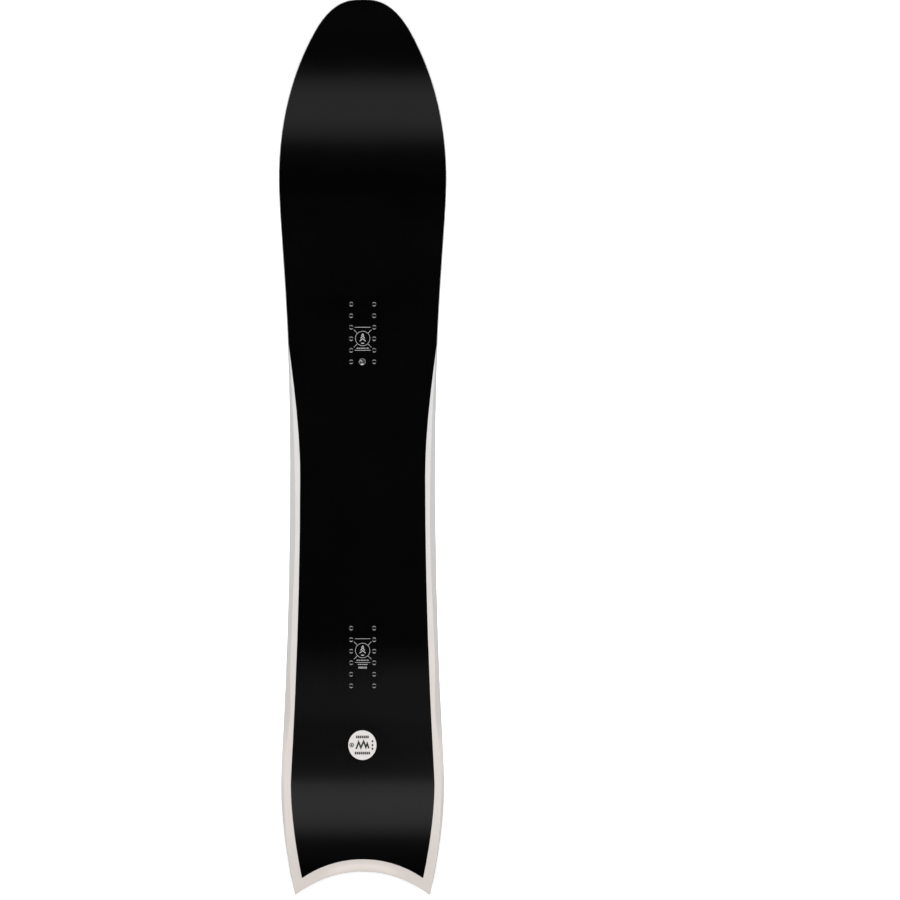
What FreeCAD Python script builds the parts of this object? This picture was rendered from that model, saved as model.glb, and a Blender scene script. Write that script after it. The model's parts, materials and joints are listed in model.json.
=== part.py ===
import FreeCAD, Part
import math
import os

# A directional snowboard with a long rounded nose and a crescent tail, built as the layers that are
# pressed together: running base, steel edges, damping foil, glass, wood core, sidewalls, tip spacers,
# topsheet and binding inserts.
# Frame: X across the board, toe side positive. Y along it, nose positive. Z up from the running base.
# Origin: middle of the board's length and width, on the surface that it lies on.

doc = FreeCAD.newDocument("Snowboard")
sheet = doc.addObject("Spreadsheet::Sheet", "Dimensions")

DIMENSIONS = [
    # outline, seen from above
    ("board_length", 1550.0),
    ("nose_width", 291.5),
    ("waist_width", 250.9),
    ("tail_width", 282.1),
    ("nose_widest_place", 467.0),
    ("waist_place", -31.0),
    ("tail_widest_place", -586.0),
    ("tail_point_span", 231.6),
    ("crescent_depth", 39.6),
    # how the outline's curves leave and reach those places, as lengths or as shares of a run
    ("nose_tip_handle_share", 0.144),
    ("nose_shoulder_width_share", 0.565),
    ("nose_shoulder_place_share", 0.824),
    ("nose_shoulder_slope", 60.2),
    ("nose_shoulder_handle_ahead", 61.1),
    ("nose_shoulder_handle_behind", 103.2),
    ("nose_widest_handle", 68.7),
    ("front_run_handle_share", 0.178),
    ("front_waist_handle_share", 0.441),
    ("rear_waist_handle_share", 0.605),
    ("rear_run_handle_share", 0.124),
    ("tail_widest_handle_share", 0.42),
    ("tail_point_handle_out", 6.0),
    ("tail_point_handle_up", 26.0),
    # side view of the running base
    ("nose_contact", 440.0),
    ("tail_contact", -530.0),
    ("nose_bend_radius", 700.0),
    ("tail_bend_radius", 595.0),
    ("nose_sweep", 31.5),
    ("tail_sweep", -27.5),
    # layers
    ("base_thickness", 1.2),
    ("flange_thickness", 0.4),
    ("foil_thickness", 0.4),
    ("core_middle_thickness", 5.2),
    ("core_tip_thickness", 1.4),
    ("glass_thickness", 0.6),
    ("topsheet_thickness", 0.6),
    ("core_taper_front", 262.0),
    ("core_taper_rear", -425.0),
    # edges, sidewalls and topsheet
    ("edge_width", 2.0),
    ("flange_reach", 8.0),
    ("sidewall_setback", 0.3),
    ("topsheet_setback", 1.0),
    ("sidewall_under_topsheet", 8.0),
    ("bevel_width", 8.0),
    ("bevel_foot_share", 0.25),
    ("bevel_overshoot", 6.0),
    ("nose_spacer_start", 500.0),
    ("tail_spacer_start", -640.0),
    ("tail_edge_span", 208.0),
    # where the topsheet is narrower than the board, from behind the front foot to the crescent
    ("trim_start_half_width", 133.0),
    ("trim_start_place", 212.0),
    ("trim_start_handle_in", 9.6),
    ("trim_start_handle_back", 75.0),
    ("trim_waist_half_width", 108.5),
    ("trim_waist_place", -50.0),
    ("trim_waist_handle_ahead", 90.0),
    ("trim_waist_handle_behind", 290.0),
    ("trim_tail_half_width", 124.7),
    ("trim_tail_handle_ahead", 26.0),
    ("trim_tail_handle_behind", 48.0),
    ("trim_corner_half_width", 105.5),
    ("trim_corner_rise", 31.0),
    ("trim_corner_handle_out", 9.8),
    ("trim_corner_handle_up", 45.0),
    ("trim_crescent_depth", 60.8),
    # wood core
    ("centre_stringer_width", 16.0),
    ("stringers_each_side", 4.0),
    ("stringer_width", 28.0),
    # binding inserts
    ("front_pack_place", 198.0),
    ("rear_pack_place", -364.0),
    ("insert_column_spacing", 40.0),
    ("insert_row_spacing", 20.0),
    ("insert_rows", 6.0),
    ("insert_barrel_radius", 4.8),
    ("insert_bore_radius", 3.0),
    ("insert_flange_radius", 8.5),
    ("insert_flange_thickness", 1.2),
    # inlays of the running base, at the nose
    ("inlay_place", 698.0),
    ("inlay_half_width", 45.5),
    ("inlay_half_length", 39.5),
    ("inlay_ring_width", 7.6),
    ("chevron_half_width", 21.0),
    ("chevron_rise", 17.0),
    ("chevron_stroke", 10.0),
    ("chevron_gap", 5.0),
    # blanks that the layers are cut from
    ("blank_width", 400.0),
    ("blank_height", 300.0),
]

for row, (alias, value) in enumerate(DIMENSIONS, start=1):
    sheet.set(f"A{row}", alias)
    sheet.set(f"B{row}", str(value))
    sheet.setAlias(f"B{row}", alias)
doc.recompute()


def size(alias):
    return float(sheet.get(alias))


# ---------------------------------------------------------------- small helpers

def bind(obj, **expressions):
    for prop, text in expressions.items():
        obj.setExpression(prop.replace("__", "."), text)
    return obj


def feature(name, shape):
    obj = doc.addObject("Part::Feature", name)
    obj.Shape = shape
    return obj


def extruded(name, face_object, direction, length_alias):
    obj = doc.addObject("Part::Extrusion", name)
    obj.Base = face_object
    obj.DirMode = "Custom"
    obj.Dir = direction
    obj.Solid = True
    obj.Symmetric = True
    return bind(obj, LengthFwd=f"Dimensions.{length_alias}")


def common(name, first, second):
    obj = doc.addObject("Part::Common", name)
    obj.Base = first
    obj.Tool = second
    return obj


def cut(name, first, second):
    obj = doc.addObject("Part::Cut", name)
    obj.Base = first
    obj.Tool = second
    return obj


def compound(name, members):
    obj = doc.addObject("Part::Compound", name)
    obj.Links = members
    return obj


def fused(name, members):
    obj = doc.addObject("Part::MultiFuse", name)
    obj.Shapes = members
    return obj


def block(name, x_low, x_high, y_low, y_high):
    """A tall box from plan limits, each limit an expression of the sheet."""
    obj = doc.addObject("Part::Box", name)
    return bind(
        obj,
        Length=f"({x_high}) - ({x_low})",
        Width=f"({y_high}) - ({y_low})",
        Height="Dimensions.blank_height",
        Placement__Base__x=x_low,
        Placement__Base__y=y_low,
        Placement__Base__z="-Dimensions.blank_height / 2",
    )


def sub_part(label, obj):
    """A sub-part of the board: its Label names its node and its file."""
    obj.Label = label
    sub_parts.append(obj)
    return obj


sub_parts = []


# ---------------------------------------------------------------- curves in plan

def plan(x, y):
    return FreeCAD.Vector(x, y, 0.0)


def bezier(points):
    curve = Part.BezierCurve()
    curve.setPoles([plan(x, y) for x, y in points])
    return curve.toShape()


def arc_through(first, middle, last):
    return Part.Arc(plan(*first), plan(*middle), plan(*last)).toShape()


def line(first, last):
    return Part.LineSegment(plan(*first), plan(*last)).toShape()


def mirrored_curves(curves):
    """Point lists of the toe side followed by the same curves on the heel side, in one running order."""
    heel = [[(-x, y) for x, y in reversed(points)] for points in reversed(curves)]
    return curves, heel


# the toe-side tail point is rounded through these places: outer side, lowest, crescent side (out, up)
TAIL_POINT_ROUND = [(1.9, 3.4), (0.0, 0.1), (-2.8, 1.5)]

# the same for the topsheet's rear corner, from where its side ends
TRIM_CORNER_ROUND = [(0.0, 0.0), (-0.9, -2.0), (-2.9, -1.2)]


def rear_curves(round_points, apex_y):
    """Toe corner, crescent and heel corner, from the toe side's end to the heel side's."""
    side_end, corner, crescent_end = round_points
    mirrored = [(-x, y) for x, y in round_points]
    return [arc_through(side_end, corner, crescent_end),
            arc_through(crescent_end, (0.0, apex_y), mirrored[2]),
            arc_through(mirrored[2], mirrored[1], mirrored[0])]


def full_outline():
    """Plan outline of the steel edges' outer side."""
    tip = size("board_length") / 2
    nose_half = size("nose_width") / 2
    waist_half = size("waist_width") / 2
    tail_half = size("tail_width") / 2
    nose_y = size("nose_widest_place")
    waist_y = size("waist_place")
    tail_y = size("tail_widest_place")
    front_run = nose_y - waist_y
    rear_run = waist_y - tail_y

    shoulder_x = size("nose_shoulder_width_share") * nose_half
    shoulder_y = nose_y + size("nose_shoulder_place_share") * (tip - nose_y)
    slope = math.radians(size("nose_shoulder_slope"))
    ahead = size("nose_shoulder_handle_ahead")
    behind = size("nose_shoulder_handle_behind")
    tail_points = [(size("tail_point_span") / 2 + out, up - tip) for out, up in TAIL_POINT_ROUND]
    side_end = tail_points[0]

    toe_side = [
        [(0.0, tip),
         (size("nose_tip_handle_share") * nose_half, tip),
         (shoulder_x - ahead * math.cos(slope), shoulder_y + ahead * math.sin(slope)),
         (shoulder_x, shoulder_y)],
        [(shoulder_x, shoulder_y),
         (shoulder_x + behind * math.cos(slope), shoulder_y - behind * math.sin(slope)),
         (nose_half, nose_y + size("nose_widest_handle")),
         (nose_half, nose_y)],
        [(nose_half, nose_y),
         (nose_half, nose_y - size("front_run_handle_share") * front_run),
         (waist_half, nose_y - size("front_waist_handle_share") * front_run),
         (waist_half, waist_y)],
        [(waist_half, waist_y),
         (waist_half, waist_y - size("rear_waist_handle_share") * rear_run),
         (tail_half, tail_y + size("rear_run_handle_share") * rear_run),
         (tail_half, tail_y)],
        [(tail_half, tail_y),
         (tail_half, tail_y - size("tail_widest_handle_share") * (tip + tail_y)),
         (side_end[0] + size("tail_point_handle_out"), side_end[1] + size("tail_point_handle_up")),
         side_end],
    ]
    toe, heel = mirrored_curves(toe_side)
    edges = [bezier(points) for points in toe]
    edges.extend(rear_curves(tail_points, size("crescent_depth") - tip))
    edges.extend(bezier(points) for points in heel)
    return Part.Face(Part.Wire(edges))


def topsheet_trim():
    """Plan shape that narrows the topsheet behind the front foot. Ahead of it the outline is the limit."""
    tip = size("board_length") / 2
    start = (size("trim_start_half_width"), size("trim_start_place"))
    waist_half = size("trim_waist_half_width")
    waist_y = size("trim_waist_place")
    tail_half = size("trim_tail_half_width")
    tail_y = size("tail_widest_place")
    corner_x = size("trim_corner_half_width")
    corner_y = size("trim_corner_rise") - tip
    corner_points = [(corner_x + out, corner_y + up) for out, up in TRIM_CORNER_ROUND]
    corner = corner_points[0]

    toe_side = [
        [start,
         (start[0] - size("trim_start_handle_in"), start[1] - size("trim_start_handle_back")),
         (waist_half, waist_y + size("trim_waist_handle_ahead")),
         (waist_half, waist_y)],
        [(waist_half, waist_y),
         (waist_half, waist_y - size("trim_waist_handle_behind")),
         (tail_half, tail_y + size("trim_tail_handle_ahead")),
         (tail_half, tail_y)],
        [(tail_half, tail_y),
         (tail_half, tail_y - size("trim_tail_handle_behind")),
         (corner_x + size("trim_corner_handle_out"), corner_y + size("trim_corner_handle_up")),
         corner],
    ]
    ahead = size("blank_width") / 2
    front_corner = (ahead, tip + ahead)
    side_corner = (ahead, start[1])
    toe, heel = mirrored_curves(toe_side)
    edges = [line((-front_corner[0], front_corner[1]), front_corner),
             line(front_corner, side_corner),
             line(side_corner, start)]
    edges.extend(bezier(points) for points in toe)
    edges.extend(rear_curves(corner_points, size("trim_crescent_depth") - tip))
    edges.extend(bezier(points) for points in heel)
    edges.append(line((-start[0], start[1]), (-side_corner[0], side_corner[1])))
    edges.append(line((-side_corner[0], side_corner[1]), (-front_corner[0], front_corner[1])))
    return Part.Face(Part.Wire(edges))


# ---------------------------------------------------------------- layers in side view

def side(y, z):
    return FreeCAD.Vector(0.0, y, z)


def on_bend(contact, radius, height, angle):
    """Point at a height above the running base, at an angle round a nose (+) or tail (-) bend."""
    reach = radius - height
    return side(contact + reach * math.sin(angle), radius - reach * math.cos(angle))


def ramp(start_y, start_z, end_y, end_z):
    """Smooth step of thickness, level at both ends."""
    third = (end_y - start_y) / 3
    curve = Part.BezierCurve()
    curve.setPoles([side(start_y, start_z), side(start_y + third, start_z),
                    side(end_y - third, end_z), side(end_y, end_z)])
    return curve.toShape()


def surface_curves(middle, tip):
    """One layer boundary from tail to nose, by its heights above the running base: middle and tips."""
    nose, nose_radius = size("nose_contact"), size("nose_bend_radius")
    tail, tail_radius = size("tail_contact"), size("tail_bend_radius")
    nose_sweep, tail_sweep = math.radians(size("nose_sweep")), math.radians(size("tail_sweep"))
    tail_arc = Part.Arc(*(on_bend(tail, tail_radius, tip, share * tail_sweep) for share in (1.0, 0.5, 0.0)))
    nose_arc = Part.Arc(*(on_bend(nose, nose_radius, tip, share * nose_sweep) for share in (0.0, 0.5, 1.0)))
    if middle == tip:
        between = [Part.LineSegment(side(tail, tip), side(nose, tip)).toShape()]
    else:
        rear, front = size("core_taper_rear"), size("core_taper_front")
        between = [
            ramp(tail, tip, rear, middle),
            Part.LineSegment(side(rear, middle), side(front, middle)).toShape(),
            ramp(front, middle, nose, tip),
        ]
    return [tail_arc.toShape(), *between, nose_arc.toShape()]


def band(name, lower, upper):
    """Everything between two layer boundaries, right across the blank."""
    below = surface_curves(*lower)
    above = surface_curves(*upper)
    ends = []
    for place in (0, -1):
        lower_end = below[place].Vertexes[place].Point
        upper_end = above[place].Vertexes[place].Point
        ends.append(Part.LineSegment(lower_end, upper_end).toShape())
    wire = Part.Wire(Part.__sortEdges__(below + above + ends))
    return extruded(name, feature(name + "_face", Part.Face(wire)), FreeCAD.Vector(1, 0, 0), "blank_width")


def level(middle, tip=None):
    return middle, middle if tip is None else tip


BASE_TOP = size("base_thickness")
FLANGE_TOP = BASE_TOP + size("flange_thickness")
CORE_BOTTOM = FLANGE_TOP + size("foil_thickness")
CORE_TOP = (CORE_BOTTOM + size("core_middle_thickness"), CORE_BOTTOM + size("core_tip_thickness"))
GLASS_TOP = tuple(height + size("glass_thickness") for height in CORE_TOP)
BOARD_TOP = tuple(height + size("topsheet_thickness") for height in GLASS_TOP)

base_band = band("base_band", level(0.0), level(BASE_TOP))
edge_band = band("edge_band", level(0.0), level(CORE_BOTTOM))
flange_band = band("flange_band", level(BASE_TOP), level(FLANGE_TOP))
foil_band = band("foil_band", level(FLANGE_TOP), level(CORE_BOTTOM))
lower_glass_band = band("lower_glass_band", level(BASE_TOP), level(CORE_BOTTOM))
core_band = band("core_band", level(CORE_BOTTOM), CORE_TOP)
upper_glass_band = band("upper_glass_band", CORE_TOP, GLASS_TOP)
sidewall_band = band("sidewall_band", level(CORE_BOTTOM), GLASS_TOP)
topsheet_band = band("topsheet_band", GLASS_TOP, BOARD_TOP)


# ---------------------------------------------------------------- upright blanks of each outline

def inset(name, source, distance):
    """The outline moved inwards, as a face whose curves are plain B-splines that every STEP reader takes."""
    offset = doc.addObject("Part::Offset2D", name + "_offset")
    offset.Source = source
    offset.Join = "Arc"
    bind(offset, Value=f"-({distance})")
    doc.recompute()
    return feature(name, Part.Face(offset.Shape.Wires[0].toNurbs().Wires[0]))


def upright(name, face_object):
    return extruded(name, face_object, FreeCAD.Vector(0, 0, 1), "blank_height")


outline = feature("outline", full_outline())
edge_inner = inset("edge_inner_outline", outline, "Dimensions.edge_width")
flange_inner = inset("flange_inner_outline", outline, "Dimensions.flange_reach")
sidewall_outer = inset("sidewall_outer_outline", outline, "Dimensions.sidewall_setback")
topsheet_ahead = inset("topsheet_ahead_outline", outline, "Dimensions.topsheet_setback")
topsheet_outline = common("topsheet_outline", topsheet_ahead, feature("topsheet_trim", topsheet_trim()))
core_outline = inset("core_outline", topsheet_outline, "Dimensions.sidewall_under_topsheet")

board_blank = upright("board_blank", outline)
base_blank = upright("base_blank", edge_inner)
lower_glass_blank = upright("lower_glass_blank", flange_inner)
sidewall_blank = upright("sidewall_blank", sidewall_outer)
topsheet_blank = upright("topsheet_blank", topsheet_outline)
core_blank = upright("core_blank", core_outline)


# ---------------------------------------------------------------- blocks that split a ring into its pieces

EVERYWHERE = "Dimensions.blank_width * 4"
HALF_WIDTH = "Dimensions.blank_width / 2"
TAIL_SPLIT = "Dimensions.tail_spacer_start"
NOSE_SPLIT = "Dimensions.nose_spacer_start"

toe_half = block("toe_half", "0", HALF_WIDTH, f"-({EVERYWHERE})", EVERYWHERE)
heel_half = block("heel_half", f"-({HALF_WIDTH})", "0", f"-({EVERYWHERE})", EVERYWHERE)
tail_notch = block("tail_notch", "-Dimensions.tail_edge_span / 2", "Dimensions.tail_edge_span / 2",
                   f"-({EVERYWHERE})", TAIL_SPLIT)
nose_end = block("nose_end", f"-({HALF_WIDTH})", HALF_WIDTH, NOSE_SPLIT, EVERYWHERE)
tail_end = block("tail_end", f"-({HALF_WIDTH})", HALF_WIDTH, f"-({EVERYWHERE})", TAIL_SPLIT)
toe_waist = block("toe_waist", "0", HALF_WIDTH, TAIL_SPLIT, NOSE_SPLIT)
heel_waist = block("heel_waist", f"-({HALF_WIDTH})", "0", TAIL_SPLIT, NOSE_SPLIT)


# ---------------------------------------------------------------- binding inserts

def cylinder(name, radius, height, x, y, z):
    obj = doc.addObject("Part::Cylinder", name)
    return bind(obj, Radius=radius, Height=height, Placement__Base__x=x, Placement__Base__y=y,
                Placement__Base__z=z)


INSERT_FOOT = "(Dimensions.base_thickness + Dimensions.flange_thickness + Dimensions.foil_thickness)"
INSERT_RISE = ("(Dimensions.core_middle_thickness + Dimensions.glass_thickness"
               " + Dimensions.topsheet_thickness)")


def insert_pack(name, centre):
    """Twelve flanged, blind-tapped inserts in two columns: their bodies and their bores."""
    bodies = []
    bores = []
    for column in (-1, 1):
        for row_number in range(int(size("insert_rows"))):
            x = f"{column} * Dimensions.insert_column_spacing / 2"
            rows_from_middle = f"({row_number} - (Dimensions.insert_rows - 1) / 2)"
            y = f"{centre} + {rows_from_middle} * Dimensions.insert_row_spacing"
            tag = f"{name}_{'toe' if column > 0 else 'heel'}_{row_number + 1}"
            barrel = cylinder(tag + "_barrel", "Dimensions.insert_barrel_radius",
                              INSERT_RISE, x, y, INSERT_FOOT)
            flange = cylinder(tag + "_flange", "Dimensions.insert_flange_radius",
                              "Dimensions.insert_flange_thickness", x, y, INSERT_FOOT)
            bodies.append(fused(tag + "_body", [barrel, flange]))
            bores.append(cylinder(tag + "_bore", "Dimensions.insert_bore_radius", INSERT_RISE, x, y,
                                  f"{INSERT_FOOT} + Dimensions.insert_flange_thickness"))
    body_group = compound(name + "_bodies", bodies)
    sub_part(name, cut(name + "_cut", body_group, compound(name + "_bores", bores)))
    return body_group


front_bodies = insert_pack("front_inserts", "Dimensions.front_pack_place")
rear_bodies = insert_pack("rear_inserts", "Dimensions.rear_pack_place")
insert_room = compound("insert_room", [front_bodies, rear_bodies])


# ---------------------------------------------------------------- running base and its inlays

def ellipse_blank(name, half_width, half_length):
    rim = doc.addObject("Part::Ellipse", name + "_rim")
    bind(rim, MajorRadius=half_width, MinorRadius=half_length, Placement__Base__y="Dimensions.inlay_place")
    return upright(name, rim)


def chevron(name, lift):
    """Upright blank of one chevron that points to the nose, lifted from the inlay's centre."""
    half, rise = size("chevron_half_width"), size("chevron_rise")
    stroke, foot = size("chevron_stroke"), size("inlay_place") + lift
    corners = [(-half, foot), (0.0, foot + rise), (half, foot), (half, foot + stroke),
               (0.0, foot + rise + stroke), (-half, foot + stroke)]
    face = Part.Face(Part.makePolygon([plan(*corner) for corner in corners + corners[:1]]))
    return upright(name, feature(name + "_face", face))


disc_blank = ellipse_blank("inlay_disc_blank", "Dimensions.inlay_half_width", "Dimensions.inlay_half_length")
disc_centre_blank = ellipse_blank(
    "inlay_centre_blank",
    "Dimensions.inlay_half_width - Dimensions.inlay_ring_width",
    "Dimensions.inlay_half_length - Dimensions.inlay_ring_width")
half_pitch = (size("chevron_stroke") + size("chevron_gap")) / 2
half_chevron = (size("chevron_rise") + size("chevron_stroke")) / 2
chevron_blanks = compound("chevron_blanks", [chevron("upper_chevron", half_pitch - half_chevron),
                                             chevron("lower_chevron", -half_pitch - half_chevron)])

base_layer = common("base_layer", base_blank, base_band)
sub_part("base_sheet", cut("base_sheet_cut", base_layer, disc_blank))
inlay_disc = common("inlay_disc", base_band, disc_blank)
inlay_centre = common("inlay_centre", base_band, disc_centre_blank)
sub_part("base_ring_inlay", cut("base_ring_cut", inlay_disc, disc_centre_blank))
sub_part("base_nose_disc", cut("base_nose_disc_cut", inlay_centre, chevron_blanks))
sub_part("base_chevron_inlay", common("base_chevron_common", inlay_centre, chevron_blanks))


# ---------------------------------------------------------------- steel edges and damping foil

edge_bar = common("edge_bar", cut("edge_ring", board_blank, base_blank), edge_band)
flange_ring = cut("flange_ring", base_blank, lower_glass_blank)
edge_flange = common("edge_flange", flange_ring, flange_band)
edge_loop = fused("edge_loop", [edge_bar, edge_flange])
foil_loop = common("foil_loop", flange_ring, foil_band)


def split_loop(name, loop):
    """Toe, heel and tail pieces of a loop that runs round the whole board."""
    sub_part(f"tail_{name}", common(f"tail_{name}_common", loop, tail_notch))
    sides = cut(f"{name}_sides", loop, tail_notch)
    sub_part(f"toe_{name}", common(f"toe_{name}_common", sides, toe_half))
    sub_part(f"heel_{name}", common(f"heel_{name}_common", sides, heel_half))


split_loop("steel_edge", edge_loop)
split_loop("damping_foil", foil_loop)


# ---------------------------------------------------------------- glass laminates and wood core

sub_part("lower_glass_laminate", common("lower_glass_common", lower_glass_blank, lower_glass_band))
upper_glass = common("upper_glass_common", core_blank, upper_glass_band)
sub_part("upper_glass_laminate", cut("upper_glass_cut", upper_glass, insert_room))

core_slab = cut("core_slab", common("core_common", core_blank, core_band), insert_room)

HALF_CENTRE = "Dimensions.centre_stringer_width / 2"


def stringer(label, near, far):
    strip = block(label + "_strip", near, far, f"-({EVERYWHERE})", EVERYWHERE)
    sub_part(label, common(label + "_common", core_slab, strip))


stringer("core_stringer_centre", f"-({HALF_CENTRE})", HALF_CENTRE)
last_stringer = int(size("stringers_each_side"))
for number in range(1, last_stringer + 1):
    near = f"({HALF_CENTRE} + {number - 1} * Dimensions.stringer_width)"
    far = f"({HALF_CENTRE} + {number} * Dimensions.stringer_width)" if number < last_stringer else HALF_WIDTH
    stringer(f"core_stringer_toe_{number}", near, far)
    stringer(f"core_stringer_heel_{number}", f"-({far})", f"-{near}")


# ---------------------------------------------------------------- sidewalls and tip spacers

def half_width_at(y):
    """Distance from the centre line to the outline."""
    reach = size("blank_width") / 2
    chord = outline.Shape.common(line((0.0, y), (reach, y)))
    return chord.BoundBox.XMax


def height_at(y, middle, tip):
    """Height of a layer boundary above the ground, measured upright."""
    nose, rear_end = size("nose_contact"), size("tail_contact")
    if y > nose:
        return size("nose_bend_radius") - math.sqrt((size("nose_bend_radius") - tip) ** 2 - (y - nose) ** 2)
    if y < rear_end:
        return size("tail_bend_radius") - math.sqrt((size("tail_bend_radius") - tip) ** 2 - (y - rear_end) ** 2)
    front, rear = size("core_taper_front"), size("core_taper_rear")
    if y > front:
        part = (y - front) / (nose - front)
    elif y < rear:
        part = (rear - y) / (rear - rear_end)
    else:
        return middle
    return middle + (tip - middle) * part * part * (3 - 2 * part)


# place along the board and share of the full bevel width, from the shoulder's start to the tail points
BEVEL_STATIONS = [(200.0, 0.0), (90.0, 0.5), (-60.0, 1.0), (-240.0, 0.95), (-400.0, 0.85), (-520.0, 0.7),
                  (-620.0, 0.5), (-690.0, 0.25), (-750.0, 0.0)]


def bevel_cutter(name, hand):
    """Takes the outer top corner off the sidewall of one side (hand +1 toe, -1 heel)."""
    overshoot = size("bevel_overshoot")
    rise = size("bevel_foot_share")
    foot_levels = [CORE_BOTTOM + rise * (height - CORE_BOTTOM) for height in GLASS_TOP]
    sections = []
    for y, share in BEVEL_STATIONS:
        foot_x = half_width_at(y) - size("sidewall_setback")
        top_x = foot_x - share * size("bevel_width")
        top_z = height_at(y, *GLASS_TOP)
        foot_z = height_at(y, *foot_levels)
        run = math.hypot(foot_x - top_x, top_z - foot_z)
        step_x = overshoot * (foot_x - top_x) / run
        step_z = overshoot * (top_z - foot_z) / run
        outside = foot_x + 4 * overshoot
        corners = [(top_x - step_x, top_z + step_z), (foot_x + step_x, foot_z - step_z),
                   (outside, foot_z - step_z), (outside, top_z + step_z)]
        points = [FreeCAD.Vector(hand * x, y, z) for x, z in corners]
        sections.append(Part.makePolygon(points + points[:1]))
    wedge = Part.makeLoft(sections, True, False)
    if wedge.Volume < 0:
        wedge.reverse()
    return feature(name, wedge)


sidewall_ring_blank = cut("sidewall_ring_blank", sidewall_blank, core_blank)
sidewall_ring = common("sidewall_ring", sidewall_ring_blank, sidewall_band)
bevel_cutters = compound("bevel_cutters", [bevel_cutter("toe_bevel", 1), bevel_cutter("heel_bevel", -1)])
bevelled_ring = cut("bevelled_ring", sidewall_ring, bevel_cutters)

sub_part("toe_sidewall", common("toe_sidewall_common", bevelled_ring, toe_waist))
sub_part("heel_sidewall", common("heel_sidewall_common", bevelled_ring, heel_waist))
sub_part("nose_spacer", common("nose_spacer_common", bevelled_ring, nose_end))
sub_part("tail_spacer", common("tail_spacer_common", bevelled_ring, tail_end))


# ---------------------------------------------------------------- topsheet

topsheet_layer = common("topsheet_layer", topsheet_blank, topsheet_band)
sub_part("topsheet", cut("topsheet_cut", topsheet_layer, insert_room))


# ---------------------------------------------------------------- checks and files

doc.recompute()
for obj in doc.Objects:
    if "Invalid" in obj.State or "Error" in obj.State:
        raise RuntimeError(f"{obj.Name} failed: {obj.State}")
for obj in sub_parts:
    if obj.Shape.isNull() or not obj.Shape.isValid():
        raise RuntimeError(f"{obj.Label} has no valid shape")
    if not obj.Shape.Solids:
        raise RuntimeError(f"{obj.Label} has no solid")

os.makedirs("parts", exist_ok=True)
for obj in sub_parts:
    obj.Shape.exportStep(f"parts/{obj.Label}.step")
    print(f"{obj.Label}: {len(obj.Shape.Solids)} solids, {obj.Shape.Volume / 1000:.2f} cm3")
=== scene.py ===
import json
import math

import bmesh
import bpy
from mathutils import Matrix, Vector
from mathutils.bvhtree import BVHTree


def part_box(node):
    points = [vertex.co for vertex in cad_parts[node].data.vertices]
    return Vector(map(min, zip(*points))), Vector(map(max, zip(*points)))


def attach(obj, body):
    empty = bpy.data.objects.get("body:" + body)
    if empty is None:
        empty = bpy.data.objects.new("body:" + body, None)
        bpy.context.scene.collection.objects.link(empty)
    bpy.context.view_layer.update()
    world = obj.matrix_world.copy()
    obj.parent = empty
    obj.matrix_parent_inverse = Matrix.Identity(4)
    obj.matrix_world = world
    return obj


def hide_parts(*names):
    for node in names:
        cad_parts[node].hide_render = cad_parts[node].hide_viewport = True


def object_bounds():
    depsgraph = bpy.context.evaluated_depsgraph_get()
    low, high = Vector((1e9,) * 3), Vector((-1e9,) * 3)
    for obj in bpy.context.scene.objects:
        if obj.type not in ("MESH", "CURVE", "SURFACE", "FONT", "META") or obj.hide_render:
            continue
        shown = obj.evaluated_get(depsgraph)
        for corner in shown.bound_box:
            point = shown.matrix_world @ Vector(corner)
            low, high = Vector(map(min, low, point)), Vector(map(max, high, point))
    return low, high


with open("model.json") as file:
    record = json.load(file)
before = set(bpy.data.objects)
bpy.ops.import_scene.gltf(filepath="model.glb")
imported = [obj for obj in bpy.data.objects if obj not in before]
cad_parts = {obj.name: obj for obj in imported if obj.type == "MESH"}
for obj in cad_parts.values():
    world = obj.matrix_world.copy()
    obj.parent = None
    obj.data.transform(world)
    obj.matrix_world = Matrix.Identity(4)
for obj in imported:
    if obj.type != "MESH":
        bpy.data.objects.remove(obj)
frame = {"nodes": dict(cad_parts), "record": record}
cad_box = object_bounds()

# Lengths are in metres unless a comment says millimetres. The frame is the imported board's: X across it, Y to
# the nose, Z up from the running base.

MM = 0.001
MOUNTS = {mount["name"]: Vector(mount["pos_m"]) for mount in frame["record"]["mounts"]}
NODES = frame["nodes"]


# ------------------------------------------------------------------------------------------ reading the board

RAY_START_HEIGHT = 1.0
EDGE_SEARCH_STEP = 0.2 * MM


def tree_of(node):
    data = NODES[node].data
    points = [vertex.co for vertex in data.vertices]
    faces = [face.vertices for face in data.polygons]
    return BVHTree.FromPolygons(points, faces)


TOP_TREE = tree_of("topsheet")
TAIL_TREE = tree_of("tail_spacer")


def seen_from_above(tree, x, y):
    """The point of a node that is straight below (x, y), or None."""
    return tree.ray_cast(Vector((x, y, RAY_START_HEIGHT)), Vector((0.0, 0.0, -1.0)))[0]


def top_height(x, y):
    """Height of the topsheet's upper face."""
    return seen_from_above(TOP_TREE, x, y).z


def rear_edge(tree, x):
    """Where a node starts, going forward from the tail along this x."""
    y = cad_box[0].y - 1.0 * MM
    while seen_from_above(tree, x, y) is None:
        y += EDGE_SEARCH_STEP
    return y


def crescent(tree, x):
    """Centre Y and radius of the circle that a node's crescent rear edge follows, read at its middle and x."""
    middle = rear_edge(tree, 0.0)
    rise = middle - rear_edge(tree, x)
    radius = (x ** 2 + rise ** 2) / (2 * rise)
    return middle - radius, radius


# ------------------------------------------------------------------------------------------ node graphs

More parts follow.
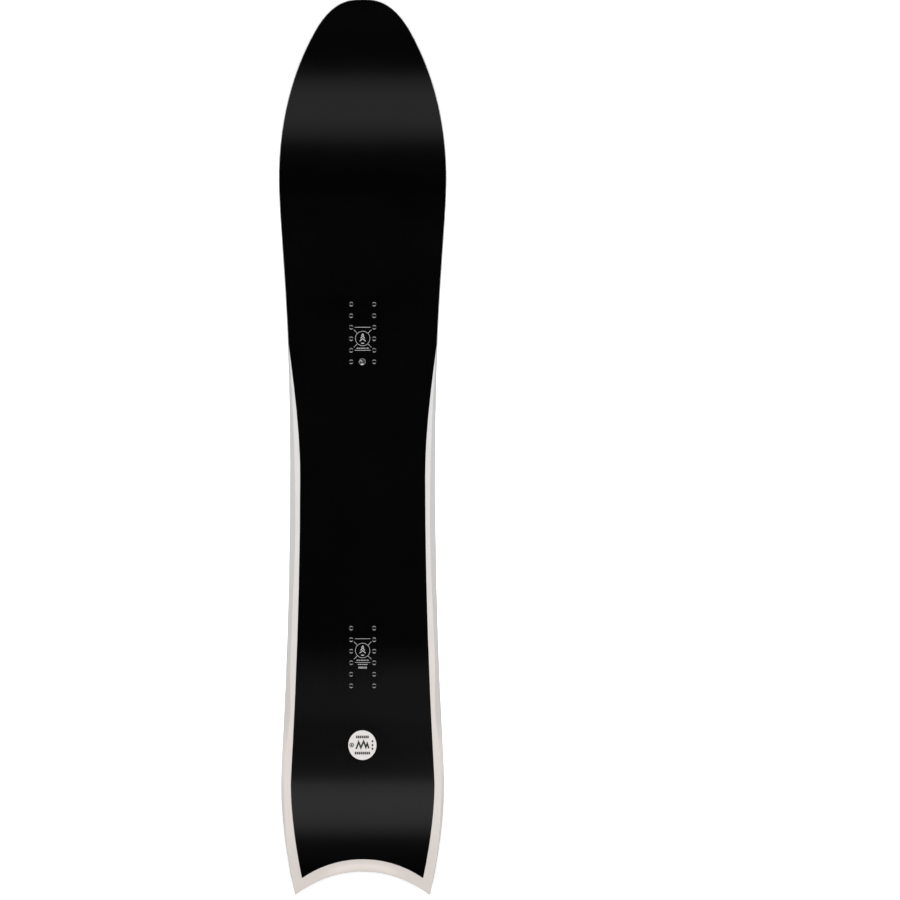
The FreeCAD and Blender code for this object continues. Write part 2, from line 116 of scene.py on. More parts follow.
class Graph:
    """A small helper for writing a material or world as expressions."""

    def __init__(self, tree):
        self.tree = tree
        self.tree.nodes.clear()

    def node(self, kind, **settings):
        made = self.tree.nodes.new(kind)
        for name, value in settings.items():
            setattr(made, name, value)
        return made

    def feed(self, socket, value):
        """Link an output to a socket, or set the socket to a plain value."""
        if isinstance(value, bpy.types.NodeSocket):
            self.tree.links.new(value, socket)
        else:
            socket.default_value = value

    def fed(self, kind, inputs, **settings):
        """A node with its named inputs fed."""
        made = self.node(kind, **settings)
        for name, value in inputs.items():
            self.feed(made.inputs[name], value)
        return made

    def split(self, vector):
        """The X, Y and Z of a vector."""
        return self.fed("ShaderNodeSeparateXYZ", {0: vector}).outputs

    def math(self, operation, *values):
        made = self.node("ShaderNodeMath", operation=operation)
        for socket, value in zip(made.inputs, values):
            self.feed(socket, value)
        return made.outputs[0]

    def product(self, first, *others):
        for other in others:
            first = self.math("MULTIPLY", first, other)
        return first

    def total(self, first, *others):
        for other in others:
            first = self.math("ADD", first, other)
        return first

    def steps(self, value, low, high, low_out=0.0, high_out=1.0):
        """A smooth step from low_out at low to high_out at high; low may be the larger of the two."""
        made = self.node("ShaderNodeMapRange", interpolation_type="SMOOTHSTEP")
        for socket, number in zip(made.inputs, (value, low, high, low_out, high_out)):
            self.feed(socket, number)
        return made.outputs[0]

    def window(self, value, start, full, fading, end):
        """1 from full to fading, easing to 0 at start and end."""
        return self.product(self.steps(value, start, full), self.steps(value, end, fading))

    def mix(self, share, first, second):
        return self.fed("ShaderNodeMix", {0: share, 6: first, 7: second}, data_type="RGBA").outputs[2]

    def stretched(self, vector, scale, turn=0.0):
        """A vector scaled by axis and turned about Z, to draw a texture out along an axis."""
        made = self.fed("ShaderNodeMapping", {0: vector, 2: (0.0, 0.0, turn), 3: scale})
        return made.outputs[0]

    def noise(self, vector, scale, detail=3.0, rough=0.5, distortion=0.0):
        inputs = {"Vector": vector, "Scale": scale, "Detail": detail, "Roughness": rough,
                  "Distortion": distortion}
        return self.fed("ShaderNodeTexNoise", inputs).outputs[0]

    def cells(self, vector, scale):
        return self.fed("ShaderNodeTexVoronoi", {"Vector": vector, "Scale": scale}).outputs["Distance"]

    def wave(self, vector, scale, distortion, detail):
        inputs = {"Vector": vector, "Scale": scale, "Distortion": distortion, "Detail": detail}
        return self.fed("ShaderNodeTexWave", inputs, wave_type="BANDS", bands_direction="X").outputs["Fac"]

    def bump(self, height, distance, strength):
        inputs = {"Height": height, "Distance": distance, "Strength": strength}
        return self.fed("ShaderNodeBump", inputs).outputs[0]


def rgb(red, green, blue):
    return (red, green, blue, 1.0)


def material(name, paint, clear_from_behind=False):
    """A material whose Principled inputs are what paint(graph, place) returns.

    The place is the object's own X, Y and Z.
    """
    made = bpy.data.materials.new(name)
    made.use_nodes = True
    graph = Graph(made.node_tree)
    output = graph.node("ShaderNodeOutputMaterial")
    shader = graph.node("ShaderNodeBsdfPrincipled")
    surface = shader.outputs[0]
    if clear_from_behind:
        behind = graph.node("ShaderNodeNewGeometry").outputs["Backfacing"]
        clear = graph.node("ShaderNodeBsdfTransparent").outputs[0]
        surface = graph.fed("ShaderNodeMixShader", {0: behind, 1: surface, 2: clear}).outputs[0]
    graph.feed(output.inputs[0], surface)
    place = graph.node("ShaderNodeTexCoord").outputs["Object"]
    for socket, value in paint(graph, place).items():
        graph.feed(shader.inputs[socket], value)
    return made


# ------------------------------------------------------------------------------------------ materials

def topsheet_black(graph, place):
    """Satin black lacquer: fine orange peel, faint lengthwise drag marks, a wiped-over haze, a smoother
    stretch from the front foot to the nose bend and a painted sheen, a faint lighter patch, behind the rear
    foot."""
    x, y, _ = graph.split(place)
    peel = graph.noise(place, 900.0, 2.0)
    drag = graph.noise(graph.stretched(place, (900.0, 14.0, 900.0)), 1.0, 4.0, 0.6)
    haze = graph.noise(place, 9.0, 4.0, 0.55)

    smoother = graph.window(y, 0.20, 0.30, 0.44, 0.50)
    rough = graph.total(graph.steps(haze, 0.3, 0.7, 0.155, 0.175), graph.steps(drag, 0.3, 0.7, -0.01, 0.01))
    rough = graph.math("SUBTRACT", rough, graph.product(smoother, 0.035))

    # Painted sheen: a faint lighter patch behind the rear foot, stronger to the toe side, stands in for a weak
    # reflection.
    painted_sheen = graph.window(y, -0.67, -0.57, -0.43, -0.325)
    less_behind = graph.steps(y, -0.455, -0.485, 1.0, 0.64)
    more_toe_side = graph.steps(x, -0.04, 0.10, 0.92, 1.25)
    painted_sheen = graph.product(painted_sheen, less_behind, more_toe_side)
    colour = graph.mix(haze, rgb(0.0003, 0.0003, 0.0005), rgb(0.0007, 0.0007, 0.0010))
    colour = graph.mix(painted_sheen, colour, rgb(0.0052, 0.0049, 0.0051))

    height = graph.total(graph.product(peel, 0.6), graph.product(drag, 0.4))
    return {"Base Color": colour, "Roughness": rough, "IOR": 1.5,
            "Normal": graph.bump(height, 0.012 * MM, 0.4)}


CRESCENT_READING_PLACE = 80 * MM
HIGHLIGHT_FADES_FROM = 35 * MM
HIGHLIGHT_ENDS = 80 * MM


def crescent_highlight(graph, x, y):
    """Where the painted highlight goes: 1 along the middle of the pale crescent rim, fading to its two edges
    and to its ends.
    """
    centre_y, radius = crescent(TOP_TREE, CRESCENT_READING_PLACE)
    rim = rear_edge(TOP_TREE, 0.0) - rear_edge(TAIL_TREE, 0.0)
    along = graph.math("SUBTRACT", y, centre_y)
    reach = graph.math("SQRT", graph.total(graph.product(x, x), graph.product(along, along)))
    depth = graph.math("DIVIDE", graph.math("SUBTRACT", radius, reach), rim)
    near_middle = graph.steps(graph.math("ABSOLUTE", x), HIGHLIGHT_ENDS, HIGHLIGHT_FADES_FROM)
    return graph.product(graph.window(depth, 0.15, 0.55, 0.60, 1.05), near_middle)


def urethane_pale(graph, place):
    """Cast pale urethane, warmer to the tail: a rougher bevel darkened with painted shade, lengthwise sanding
    lines, faint scuffs, and a lighter painted highlight along the middle of the crescent rim."""
    x, y, _ = graph.split(place)
    _, _, upward = graph.split(graph.node("ShaderNodeNewGeometry").outputs["Normal"])
    cool, warm, tail = rgb(0.640, 0.628, 0.620), rgb(0.625, 0.574, 0.540), rgb(0.590, 0.540, 0.508)
    colour = graph.mix(graph.steps(y, 0.05, -0.55), cool, warm)
    colour = graph.mix(graph.steps(y, -0.66, -0.73), colour, tail)

    cloud = graph.noise(place, 26.0, 5.0, 0.55)
    colour = graph.mix(graph.steps(cloud, 0.35, 0.75, 0.0, 0.30), colour, rgb(0.570, 0.550, 0.525))

    # Painted shade: the bevel, where the surface tilts from straight up, is darkened ahead of the tail.
    tilted = graph.steps(graph.math("ABSOLUTE", upward), 0.985, 0.93)
    ahead_of_tail = graph.steps(y, -0.73, -0.64)
    shaded_bevel = graph.product(tilted, ahead_of_tail)
    colour = graph.mix(graph.product(shaded_bevel, 0.62), colour, rgb(0.45, 0.443, 0.437))
    # Painted highlight: a lighter, warmer band along the middle of the crescent rim.
    colour = graph.mix(graph.product(crescent_highlight(graph, x, y), 0.55), colour, rgb(0.755, 0.69, 0.64))

    lines = graph.noise(graph.stretched(place, (2600.0, 60.0, 2600.0)), 1.0, 3.0, 0.6)
    colour = graph.mix(graph.product(graph.steps(lines, 0.45, 0.8), 0.10), colour, rgb(0.42, 0.40, 0.38))
    specks = graph.steps(graph.cells(place, 190.0), 0.07, 0.03)
    colour = graph.mix(graph.product(specks, 0.22), colour, rgb(0.38, 0.35, 0.32))
    rough = graph.total(graph.steps(cloud, 0.3, 0.7, 0.40, 0.50), graph.product(shaded_bevel, 0.10))
    return {"Base Color": colour, "Roughness": rough, "IOR": 1.47,
            "Subsurface Weight": 0.06, "Subsurface Radius": (0.9, 0.7, 0.5), "Subsurface Scale": 0.8 * MM,
            "Normal": graph.bump(lines, 0.02 * MM, 0.45)}


def ground_structure(graph, place):
    """Height of a stone-ground base: fine lengthwise grooves crossed by a faint slanting grind."""
    along = graph.noise(graph.stretched(place, (2400.0, 9.0, 2400.0)), 1.0, 4.0, 0.65)
    slant = graph.wave(graph.stretched(place, (1.0, 1.0, 1.0), 0.12), 420.0, 3.0, 3.0)
    return graph.total(graph.product(along, 0.75), graph.product(slant, 0.25))


def sintered_base(dark, light, rough_low, rough_high):
    """Stone-ground sintered plastic: mottled between two tones, finely grained, with faint dry streaks."""
    def paint(graph, place):
        height = ground_structure(graph, place)
        mottle = graph.noise(place, 60.0, 6.0, 0.7)
        grain = graph.cells(place, 1400.0)
        colour = graph.mix(mottle, dark, light)
        colour = graph.mix(graph.steps(grain, 0.1, 0.5, 0.10, 0.0), colour, light)
        streak = graph.noise(graph.stretched(place, (260.0, 5.0, 1.0)), 1.0, 4.0, 0.6)
        rough = graph.steps(height, 0.3, 0.7, rough_low, rough_high)
        rough = graph.total(rough, graph.steps(streak, 0.45, 0.75, 0.0, 0.08))
        return {"Base Color": colour, "Roughness": rough, "IOR": 1.51,
                "Normal": graph.bump(height, 0.018 * MM, 0.5)}
    return paint


def edge_steel(graph, place):
    """Ground and polished edge steel with lengthwise file marks and a few tea-coloured stains."""
    file_marks = graph.noise(graph.stretched(place, (5200.0, 70.0, 5200.0)), 1.0, 4.0, 0.7)
    stain = graph.steps(graph.noise(place, 48.0, 6.0, 0.7), 0.60, 0.74)
    colour = graph.mix(graph.product(stain, 0.35), rgb(0.50, 0.50, 0.51), rgb(0.26, 0.19, 0.14))
    rough = graph.total(graph.steps(file_marks, 0.3, 0.7, 0.24, 0.42), graph.product(stain, 0.2))
    return {"Base Color": colour, "Metallic": 1.0, "Roughness": rough,
            "Normal": graph.bump(file_marks, 0.01 * MM, 0.6)}


SHADE_AND_GREASE_STARTS_BELOW_MOUTH = 0.09 * MM
SHADE_AND_GREASE_FULL_BELOW_MOUTH = 0.35 * MM


def insert_steel(graph, place):
    """Turned nickel-plated steel with tool marks; everywhere but on the raised lip it is near black, old
    grease with painted shade.
    """
    _, _, z = graph.split(place)
    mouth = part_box("front_inserts")[1].z
    # Old grease and painted shade: near black from just below the mouth downward, in the bore and threads.
    grease_and_shade = graph.steps(z, mouth - SHADE_AND_GREASE_STARTS_BELOW_MOUTH, mouth - SHADE_AND_GREASE_FULL_BELOW_MOUTH)
    marks = graph.noise(place, 3800.0, 3.0, 0.6)
    smudge = graph.noise(place, 180.0, 3.0)
    colour = graph.mix(smudge, rgb(0.86, 0.86, 0.87), rgb(0.93, 0.93, 0.93))
    colour = graph.mix(grease_and_shade, colour, rgb(0.020, 0.019, 0.018))
    rough = graph.total(graph.steps(marks, 0.3, 0.7, 0.10, 0.16), graph.product(grease_and_shade, 0.3))
    return {"Base Color": colour, "Metallic": 1.0, "Roughness": rough,
            "Normal": graph.bump(marks, 0.004 * MM, 0.4)}


def glass_cloth(graph, place):
    """Stitched glass cloth, bundles at +45 and -45 degrees, wetted out in greenish epoxy."""
    plain = (1.0, 1.0, 1.0)
    first = graph.wave(graph.stretched(place, plain, math.radians(45)), 95.0, 0.6, 2.0)
    second = graph.wave(graph.stretched(place, plain, math.radians(-45)), 95.0, 0.6, 2.0)
    over = graph.steps(graph.noise(place, 300.0, 2.0), 0.45, 0.55)
    weave = graph.math("MAXIMUM", graph.product(first, over), graph.product(second, 0.8))
    colour = graph.mix(weave, rgb(0.30, 0.36, 0.26), rgb(0.66, 0.70, 0.58))
    return {"Base Color": colour, "Roughness": graph.steps(weave, 0.2, 0.8, 0.22, 0.38), "IOR": 1.54,
            "Coat Weight": 0.4, "Coat Roughness": 0.12, "Normal": graph.bump(weave, 0.05 * MM, 0.5)}


def foil_rubber(graph, place):
    """Matt black damping rubber with a calendered grain."""
    grain = graph.noise(place, 1500.0, 3.0, 0.6)
    bloom = graph.steps(graph.noise(place, 40.0, 4.0), 0.45, 0.8, 0.0, 0.5)
    colour = graph.mix(bloom, rgb(0.010, 0.010, 0.010), rgb(0.030, 0.030, 0.029))
    return {"Base Color": colour, "Roughness": graph.steps(grain, 0.3, 0.7, 0.62, 0.82),
            "Normal": graph.bump(grain, 0.03 * MM, 0.6)}


def planed_wood(dark, light, fleck):
    """Lengthwise grain with growth bands, pores and small flecks."""
    def paint(graph, place):
        wander = graph.noise(graph.stretched(place, (70.0, 2.2, 70.0)), 1.0, 4.0, 0.6, 0.8)
        bands = graph.wave(graph.stretched(place, (1.0, 0.03, 1.0)), 36.0, 5.0, 3.0)
        pores = graph.noise(graph.stretched(place, (1600.0, 45.0, 1600.0)), 1.0, 3.0, 0.6)
        colour = graph.mix(graph.product(bands, wander), light, dark)
        colour = graph.mix(graph.steps(pores, 0.58, 0.78, 0.0, 0.45), colour, fleck)
        return {"Base Color": colour, "Roughness": graph.steps(pores, 0.3, 0.7, 0.50, 0.66),
                "Normal": graph.bump(pores, 0.04 * MM, 0.5)}
    return paint


def print_ink(base, faded, rough):
    """Screen-printed ink: slightly uneven lay-down and fine texture."""
    def paint(graph, place):
        lay = graph.noise(place, 700.0, 4.0, 0.65)
        cloud = graph.noise(place, 120.0, 3.0)
        colour = graph.mix(graph.steps(lay, 0.35, 0.8, 0.0, 0.5), base, faded)
        colour = graph.mix(graph.steps(cloud, 0.4, 0.8, 0.0, 0.35), colour, faded)
        return {"Base Color": colour, "Roughness": graph.steps(lay, 0.3, 0.7, rough, rough + 0.12),
                "Normal": graph.bump(lay, 0.01 * MM, 0.4)}
    return paint


BASE_BLACK = sintered_base(rgb(0.0040, 0.0044, 0.0056), rgb(0.0085, 0.0092, 0.0112), 0.27, 0.40)
BASE_WHITE = sintered_base(rgb(0.72, 0.72, 0.71), rgb(0.80, 0.80, 0.79), 0.32, 0.45)
POPLAR_GRAIN = planed_wood(rgb(0.50, 0.36, 0.20), rgb(0.68, 0.54, 0.35), rgb(0.40, 0.27, 0.15))
BEECH_GRAIN = planed_wood(rgb(0.36, 0.20, 0.105), rgb(0.54, 0.35, 0.21), rgb(0.25, 0.13, 0.07))

BY_SLOT = {
    "topsheet": material("topsheet_black", topsheet_black),
    "sidewall": material("urethane_pale", urethane_pale),
    "running_base": material("base_black", BASE_BLACK),
    "base_inlay": material("base_white", BASE_WHITE),
    "edge_steel": material("edge_steel", edge_steel),
    "insert_steel": material("insert_steel", insert_steel),
    "laminate": material("glass_cloth", glass_cloth),
    "foil": material("foil_rubber", foil_rubber),
    "core_poplar": material("poplar", POPLAR_GRAIN),
    "core_beech": material("beech", BEECH_GRAIN),
}
INK_LIGHT = material("ink_light", print_ink(rgb(0.47, 0.47, 0.47), rgb(0.36, 0.36, 0.36), 0.42))
INK_CREAM = material("ink_cream", print_ink(rgb(0.66, 0.63, 0.61), rgb(0.61, 0.58, 0.56), 0.40))
INK_DARK = material("ink_dark", print_ink(rgb(0.010, 0.010, 0.010), rgb(0.022, 0.022, 0.022), 0.38))
INK_GREY = material("ink_grey", print_ink(rgb(0.034, 0.034, 0.036), rgb(0.022, 0.022, 0.024), 0.36))


def dress_nodes():
    """Every carried-over CAD node takes the material of its slot in the record."""
    for part in frame["record"]["subparts"]:
        mesh = NODES[part["node"]].data
        chosen = BY_SLOT[part["material_slot"]]
        if len(mesh.materials) == 0:
            mesh.materials.append(chosen)
        for index in range(len(mesh.materials)):
            mesh.materials[index] = chosen


# ------------------------------------------------------------------------------------------ mesh helpers

def finished(name, mesh_maker, chosen):
    """A closed mesh piece that rides on the board."""
    maker = bmesh.new()
    mesh_maker(maker)
    bmesh.ops.recalc_face_normals(maker, faces=maker.faces)
    data = bpy.data.meshes.new(name)
    maker.to_mesh(data)
    maker.free()
    data.materials.append(chosen)
    piece = bpy.data.objects.new(name, data)
    bpy.context.scene.collection.objects.link(piece)
    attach(piece, "root")
    return piece


def smooth_by_angle(piece, degrees):
    for face in piece.data.polygons:
        face.use_smooth = True
    piece.data.set_sharp_from_angle(angle=math.radians(degrees))


def full_turn(steps):
    """Evenly spaced angles round a circle."""
    return [2 * math.pi * step / steps for step in range(steps)]


FILM = 0.06 * MM
SUNK_SHARE = 0.3
SHARPEST_MITRE = 0.35


class Print:
    """Printed shapes on the topsheet, in millimetres from a centre. Each is a thin closed film that follows
    the surface, with its underside sunk a little below it."""

    def __init__(self, centre, film):
        self.centre = centre
        self.low = -SUNK_SHARE * film
        self.high = film
        self.shapes = []

    def corner(self, maker, x, y, lift):
        x = self.centre.x + x * MM
        y = self.centre.y + y * MM
        return maker.verts.new((x, y, top_height(x, y) + lift))

    def line(self, points, width):
        """An open line with square ends and mitred corners."""
        pairs = []
        for index, point in enumerate(points):
            here = Vector(point)
            before = Vector(points[max(index - 1, 0)])
            after = Vector(points[min(index + 1, len(points) - 1)])
            into = (here - before).normalized() if index else (after - here).normalized()
            out = (after - here).normalized() if index < len(points) - 1 else into
            into_side = Vector((-into.y, into.x))
            side = (into_side + Vector((-out.y, out.x))).normalized()
            reach = 0.5 * width / max(SHARPEST_MITRE, side.dot(into_side))
            pairs.append((tuple(here + side * reach), tuple(here - side * reach)))
        self.shapes.append((self.build_strip, pairs, False))

    def bar(self, x, y, length, height):
        self.line([(x - length / 2, y), (x, y), (x + length / 2, y)], height)

    def ring(self, x, y, radius, width, steps=72):
        inner, outer = radius - width / 2, radius + width / 2
        pairs = []
        for turn in full_turn(steps):
            way_x, way_y = math.cos(turn), math.sin(turn)
            pairs.append(((x + way_x * outer, y + way_y * outer), (x + way_x * inner, y + way_y * inner)))
        self.shapes.append((self.build_strip, pairs, True))

    def disc(self, x, y, half_width, half_length, steps, rings=1):
        self.shapes.append((self.build_disc, x, y, half_width, half_length, steps, rings))

    def build(self, maker):
        for shape_builder, *measures in self.shapes:
            shape_builder(maker, *measures)

    def build_strip(self, maker, pairs, closed):
        """A band from the pairs of (x, y) points on its two sides."""
        stations = []
        for first, second in pairs:
            stations.append([self.corner(maker, *first, self.low), self.corner(maker, *first, self.high),
                             self.corner(maker, *second, self.high), self.corner(maker, *second, self.low)])
        count = len(stations)
        for index in range(count if closed else count - 1):
            here, there = stations[index], stations[(index + 1) % count]
            for side in range(4):
                other = (side + 1) % 4
                maker.faces.new((here[side], here[other], there[other], there[side]))
        if not closed:
            maker.faces.new(stations[0])
            maker.faces.new(stations[-1])

    def build_disc(self, maker, x, y, half_width, half_length, steps, rings):
        """A filled oval whose faces are in rings, so that it bends with the surface."""
        rims = []
        for lift in (self.low, self.high):
            middle = self.corner(maker, x, y, lift)
            loops = []
            for ring in range(1, rings + 1):
                loop = []
                for turn in full_turn(steps):
                    out_x = half_width * math.cos(turn) * ring / rings
                    out_y = half_length * math.sin(turn) * ring / rings
                    loop.append(self.corner(maker, x + out_x, y + out_y, lift))
                loops.append(loop)
            for step in range(steps):
                after = (step + 1) % steps
                maker.faces.new((middle, loops[0][step], loops[0][after]))
                for inner, outer in zip(loops, loops[1:]):
                    maker.faces.new((inner[step], outer[step], outer[after], inner[after]))
            rims.append(loops[-1])
        lower, upper = rims
        for step in range(steps):
            after = (step + 1) % steps
            maker.faces.new((lower[step], lower[after], upper[after], upper[step]))


# ------------------------------------------------------------------------------------------ printed marks

# Measures in this section are in millimetres, from a binding seat's middle or from the mark's own.

RULE = 0.75
HAIRLINE = 0.62
WORD_DASHES = (3.2, 2.2, 3.6, 2.6, 1.6, 3.0)
SHORT_WORD_DASHES = (2.4, 3.0, 2.0, 3.4, 2.2)
BRANCHES = ((2.0, 4.8, 3.2), (3.6, 0.3, 4.0), (5.2, -4.6, 4.4))
PEAKS = ((-10.8, -6.6), (-6.4, 5.4), (-2.6, -4.4), (2.2, 6.6), (6.0, -3.6), (8.4, 2.8), (11.2, -5.6))


def offset(mount, x, y):
    """A mark's centre, this far from a mount."""
    return MOUNTS[mount] + Vector((x * MM, y * MM, 0.0))


def dashes(marks, y, lengths, gap, height):
    """A row of short bars, centred."""
    x = -(sum(lengths) + gap * (len(lengths) - 1)) / 2
    for length in lengths:
        marks.bar(x + length / 2, y, length, height)
        x += length + gap


def pack_target(marks, y):
    """Ring with four diagonal ticks round a small fir tree, centred between the insert columns."""
    marks.ring(0.0, y, 12.6, HAIRLINE)
    tick_start, tick_end = 9.3, 15.2
    for way_x in (-1, 1):
        for way_y in (-1, 1):
            start = (way_x * tick_start, y + way_y * tick_start)
            end = (way_x * tick_end, y + way_y * tick_end)
            marks.line([start, end], HAIRLINE)
    for half_width, foot, rise in BRANCHES:
        marks.line([(-half_width, y + foot), (0.0, y + foot + rise), (half_width, y + foot)], 1.3)
    marks.bar(0.0, y - 8.2, 4.8, 1.6)


def front_marks():
    marks = Print(MOUNTS["front_binding_seat"], FILM)
    rule_length = 27.4
    marks.bar(0.0, 9.9, rule_length, RULE)
    pack_target(marks, -9.6)
    dashes(marks, -26.4, WORD_DASHES, 0.9, 1.3)
    marks.bar(0.0, -30.0, rule_length, RULE)
    finished("front_pack_marks", marks.build, INK_LIGHT)


def front_badge():
    """Small round badge below the front pack: dark ground, thin rim, a peak and a bright foot."""
    centre = offset("front_binding_seat", -0.8, -50.0)
    ground = Print(centre, FILM)
    ground.disc(0.0, 0.0, 5.8, 5.8, 48)
    finished("front_badge_ground", ground.build, INK_GREY)
    marks = Print(centre, 2 * FILM)
    marks.ring(0.0, 0.0, 5.6, 0.3, 48)
    marks.line([(-4.6, 0.4), (-2.3, 3.2), (0.2, -0.4)], 1.0)
    finished("front_badge_marks", marks.build, INK_LIGHT)
    foot = Print(centre, 2 * FILM)
    foot.bar(0.0, -4.1, 4.4, 1.9)
    finished("front_badge_foot", foot.build, INK_CREAM)


def rear_marks():
    marks = Print(MOUNTS["rear_binding_seat"], FILM)
    rule_length = 26.6
    marks.bar(0.0, 31.7, rule_length, HAIRLINE)
    pack_target(marks, 11.3)
    dashes(marks, -5.6, WORD_DASHES, 0.9, 1.2)
    marks.bar(0.0, -9.4, rule_length, HAIRLINE)
    dashes(marks, -12.9, SHORT_WORD_DASHES, 0.9, 1.2)
    dashes(marks, -18.4, 7 * [1.15], 1.0, 3.3)
    finished("rear_pack_marks", marks.build, INK_LIGHT)


def tail_roundel():
    """Pale oval patch on the tail with a bold peak line, rows of short bars, a ring and dots."""
    centre = offset("rear_binding_seat", -0.5, -153.0)
    ground = Print(centre, FILM)
    ground.disc(0.0, 0.0, 24.4, 25.7, 96, 6)
    finished("tail_roundel_ground", ground.build, INK_CREAM)
    marks = Print(centre, 2 * FILM)
    dashes(marks, 14.2, 7 * [2.5], 0.75, 4.7)
    dashes(marks, -13.8, 8 * [2.6], 0.8, 4.7)
    marks.line(PEAKS, 2.8)
    marks.ring(-18.5, 0.2, 3.3, 1.35, 40)
    marks.disc(-18.5, 0.2, 1.5, 2.0, 20)
    for y in (6.8, 0.1, -6.2):
        marks.disc(17.5, y, 1.6, 2.1, 24)
    finished("tail_roundel_marks", marks.build, INK_DARK)


# ------------------------------------------------------------------------------------------ binding inserts

COLUMN_OFFSET = 20.0 * MM
ROW_STEP = 20.0 * MM
ROWS = 6
BARREL_RADIUS = 4.8 * MM
BARREL_SHOULDER_DROP = 0.5 * MM
FLANGE_RADIUS = 8.5 * MM
FLANGE_THICKNESS = 1.2 * MM
BROKEN_EDGE = 0.25 * MM
BORE_RADIUS = 3.0 * MM
BORE_FOOT_RADIUS = 0.55 * BORE_RADIUS
MOUTH_DEPTH = 0.3 * MM
# The lip is a crowned ring: its height falls off from the middle as a power of the distance.
LIP_INNER = 2.50 * MM
LIP_OUTER = 3.25 * MM
LIP_TILT = math.radians(12)
LIP_POWER = 1.3
LIP_STEPS = 10
LIP_SMOOTH_DEGREES = 14.0
THREAD_STARTS_BELOW_HEAD = 0.9 * MM
THREAD_ENDS_ABOVE_FLANGE = 0.3 * MM
THREAD_PITCH = 1.0 * MM
THREAD_DEPTH = 0.54 * MM
THREAD_STEPS = 8
THREAD_FADE_SHARE = 0.25
TURN_STEPS = 36


def insert_profile(foot, head):
    """Outside of one insert, from underneath over the crowned lip to the mouth, as (radius, height) pairs."""
    flange_top = foot + FLANGE_THICKNESS
    points = [
        (FLANGE_RADIUS - BROKEN_EDGE, foot),
        (FLANGE_RADIUS, foot + BROKEN_EDGE),
        (FLANGE_RADIUS, flange_top - BROKEN_EDGE),
        (FLANGE_RADIUS - BROKEN_EDGE, flange_top),
        (BARREL_RADIUS + BROKEN_EDGE, flange_top),
        (BARREL_RADIUS, flange_top + BROKEN_EDGE),
        (BARREL_RADIUS, head - BARREL_SHOULDER_DROP),
    ]
    middle = (LIP_INNER + LIP_OUTER) / 2
    half = (LIP_OUTER - LIP_INNER) / 2
    drop = half * math.tan(LIP_TILT) / LIP_POWER
    for step in range(LIP_STEPS + 1):
        share = 1 - 2 * step / LIP_STEPS
        points.append((middle + half * share, head - drop * abs(share) ** LIP_POWER))
    points.append((LIP_INNER, head - MOUTH_DEPTH))
    return points


def insert_mesh(maker, x, y, foot, head):
    """One turned insert: flange, barrel with a crowned lip, cut thread and flat bottom."""
    turns = full_turn(TURN_STEPS)

    def loop(reaches, height):
        return [maker.verts.new((x + reach * math.cos(turn), y + reach * math.sin(turn), height))
                for reach, turn in zip(reaches, turns)]

    loops = [loop(TURN_STEPS * [reach], height) for reach, height in insert_profile(foot, head)]
    thread_top = head - THREAD_STARTS_BELOW_HEAD
    thread_length = thread_top - (foot + FLANGE_THICKNESS + THREAD_ENDS_ABOVE_FLANGE)
    rows = int(round(thread_length / THREAD_PITCH * THREAD_STEPS))
    for row in range(rows + 1):
        share = row / rows
        height = thread_top - thread_length * share
        fade = min(1.0, share / THREAD_FADE_SHARE, (1.0 - share) / THREAD_FADE_SHARE)
        reaches = []
        for turn in turns:
            phase = (height / THREAD_PITCH - turn / (2 * math.pi)) % 1.0
            reaches.append(BORE_RADIUS - fade * THREAD_DEPTH * (1.0 - abs(2.0 * phase - 1.0)))
        loops.append(loop(reaches, height))
    loops.append(loop(TURN_STEPS * [BORE_FOOT_RADIUS], foot + FLANGE_THICKNESS))
    for lower, upper in zip(loops, loops[1:]):
        for step in range(TURN_STEPS):
            after = (step + 1) % TURN_STEPS
            maker.faces.new((lower[step], lower[after], upper[after], upper[step]))
    for end in (loops[0], loops[-1]):
        maker.faces.new(end)


def turned_inserts(node):
    """The twelve inserts of one foot, in place of the plain ones."""
    low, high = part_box(node)
    centre = MOUNTS[node + "_outer"]

    def make(maker):
        for side in (-1, 1):
            for row in range(ROWS):
                y = centre.y + (row - (ROWS - 1) / 2) * ROW_STEP
                insert_mesh(maker, centre.x + side * COLUMN_OFFSET, y, low.z, high.z)

    piece = finished(node + "_turned", make, BY_SLOT["insert_steel"])
    smooth_by_angle(piece, LIP_SMOOTH_DEGREES)
    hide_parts(node)


# ------------------------------------------------------------------------------------------ studio

VIEW_WIDTH = 1.5615
CAMERA_OFFSET_X = 0.1515
CAMERA_OFFSET_Y = -0.005
CAMERA_LENS = 690.0
SENSOR = 36.0
FLOOR_HALF_SPAN = 40.0
FLOOR_GAP = 0.2 * MM
FLOOR_GLOW = 0.30
SUN_STRENGTH = 3.6
SUN_WIDTH_DEGREES = 60.0
SUN_HEIGHT = 5.0
# The sky is pale near the horizon and dark above it.
PALE_UP_TO_DEGREES = 3.0
DARK_FROM_DEGREES = 10.0
PALE_SKY = 0.85
DARK_SKY = 0.006
# Strip lights across the board. Each has a centre, half width and softness, in degrees of lean from straight
# up to the nose, and a strength. Sideways they fade out between two values of the direction's X.
STRIPS = (
    (-23.5, 8.0, 3.2, 0.54), (-13.8, 2.0, 4.5, 0.040), (-50.0, 5.0, 6.0, 0.040),
    (17.0, 8.1, 3.4, 0.68), (32.5, 4.0, 3.0, 0.028),
)
STRIP_FULL_TO, STRIP_ENDS = 0.22, 0.42


def studio_camera():
    """Straight down on the topsheet, nose up, with the board left of the middle of the frame."""
    low, high = cad_box
    middle = (low + high) / 2
    data = bpy.data.cameras.new("camera")
    data.sensor_width = SENSOR
    data.lens = CAMERA_LENS
    distance = VIEW_WIDTH * CAMERA_LENS / SENSOR
    data.clip_end = 4 * distance
    camera = bpy.data.objects.new("camera", data)
    camera.location = (middle.x + CAMERA_OFFSET_X, middle.y + CAMERA_OFFSET_Y, distance)
    bpy.context.scene.collection.objects.link(camera)
    bpy.context.scene.camera = camera


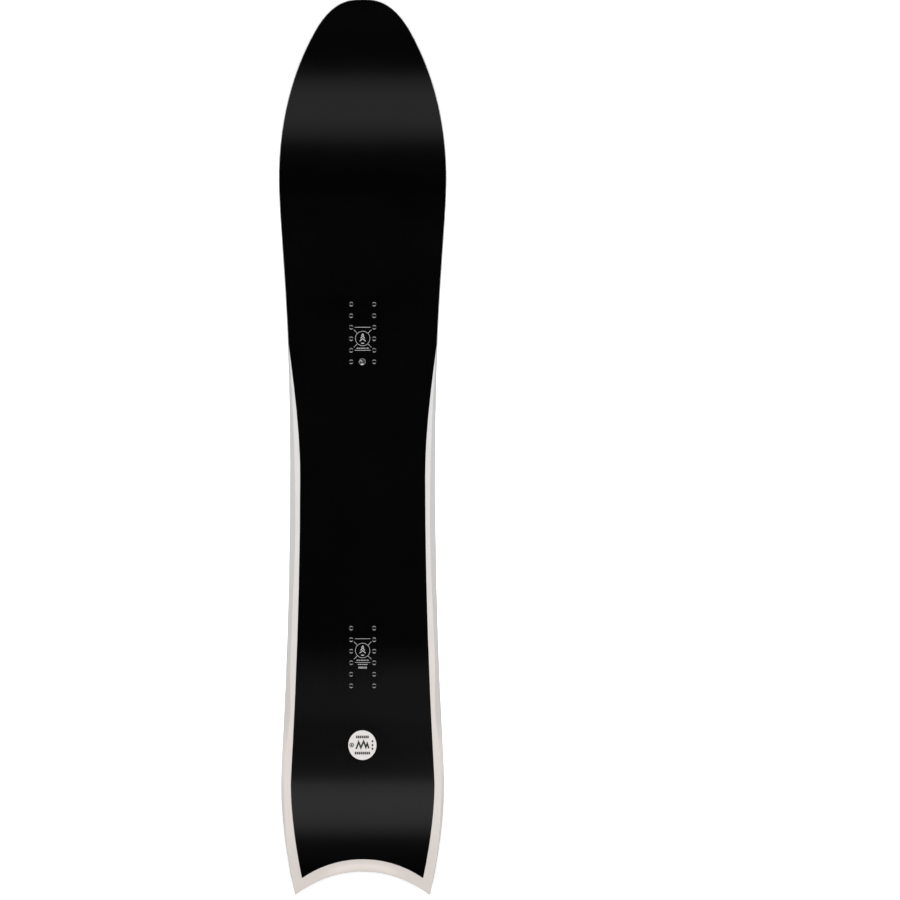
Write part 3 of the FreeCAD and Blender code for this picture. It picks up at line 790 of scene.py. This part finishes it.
def floor_white(graph, place):
    tone = graph.noise(place, 3.0, 3.0)
    return {"Base Color": graph.mix(tone, rgb(0.905, 0.905, 0.905), rgb(0.915, 0.915, 0.915)),
            "Roughness": 0.9, "Specular IOR Level": 0.0,
            "Emission Color": rgb(1.0, 1.0, 1.0), "Emission Strength": FLOOR_GLOW}


def studio_floor():
    """Plain pale floor, a whisker under the board: a light table's clear sheet, white from above only."""
    data = bpy.data.meshes.new("floor")
    height = cad_box[0].z - FLOOR_GAP
    around = ((-1, -1), (1, -1), (1, 1), (-1, 1))
    corners = [(way_x * FLOOR_HALF_SPAN, way_y * FLOOR_HALF_SPAN, height) for way_x, way_y in around]
    data.from_pydata(corners, [], [(0, 1, 2, 3)])
    floor = bpy.data.objects.new("floor", data)
    bpy.context.scene.collection.objects.link(floor)
    data.materials.append(material("floor_white", floor_white, clear_from_behind=True))


def overhead_light():
    """Broad soft light from straight above that leaves no mirror image of itself."""
    data = bpy.data.lights.new("overhead", "SUN")
    data.energy = SUN_STRENGTH
    data.angle = math.radians(SUN_WIDTH_DEGREES)
    lamp = bpy.data.objects.new("overhead", data)
    lamp.location = (0.0, 0.0, SUN_HEIGHT)
    lamp.visible_glossy = False
    bpy.context.scene.collection.objects.link(lamp)


def studio_world():
    """Dark overhead, pale at the horizon, with a strong strip light and faint neighbours past either end."""
    world = bpy.data.worlds.new("studio")
    world.use_nodes = True
    graph = Graph(world.node_tree)
    x, y, z = graph.split(graph.node("ShaderNodeTexCoord").outputs["Generated"])
    dark_from = math.sin(math.radians(DARK_FROM_DEGREES))
    pale_up_to = math.sin(math.radians(PALE_UP_TO_DEGREES))
    light = graph.steps(z, dark_from, pale_up_to, DARK_SKY, PALE_SKY)
    lean = graph.math("DEGREES", graph.math("ARCTAN2", y, z))
    spread = graph.steps(graph.math("ABSOLUTE", x), STRIP_ENDS, STRIP_FULL_TO)
    for centre, half, soft, strength in STRIPS:
        away = graph.math("ABSOLUTE", graph.math("SUBTRACT", lean, centre))
        band = graph.steps(away, half + soft, half - soft)
        light = graph.total(light, graph.product(band, spread, strength))
    background = graph.fed("ShaderNodeBackground", {0: rgb(1.0, 1.0, 1.0), 1: light})
    graph.feed(graph.node("ShaderNodeOutputWorld").inputs[0], background.outputs[0])
    bpy.context.scene.world = world


def plain_view():
    settings = bpy.context.scene.view_settings
    settings.view_transform = "Standard"
    settings.look = "None"


dress_nodes()
turned_inserts("front_inserts")
turned_inserts("rear_inserts")
front_marks()
front_badge()
rear_marks()
tail_roundel()
studio_camera()
studio_floor()
overhead_light()
studio_world()
plain_view()
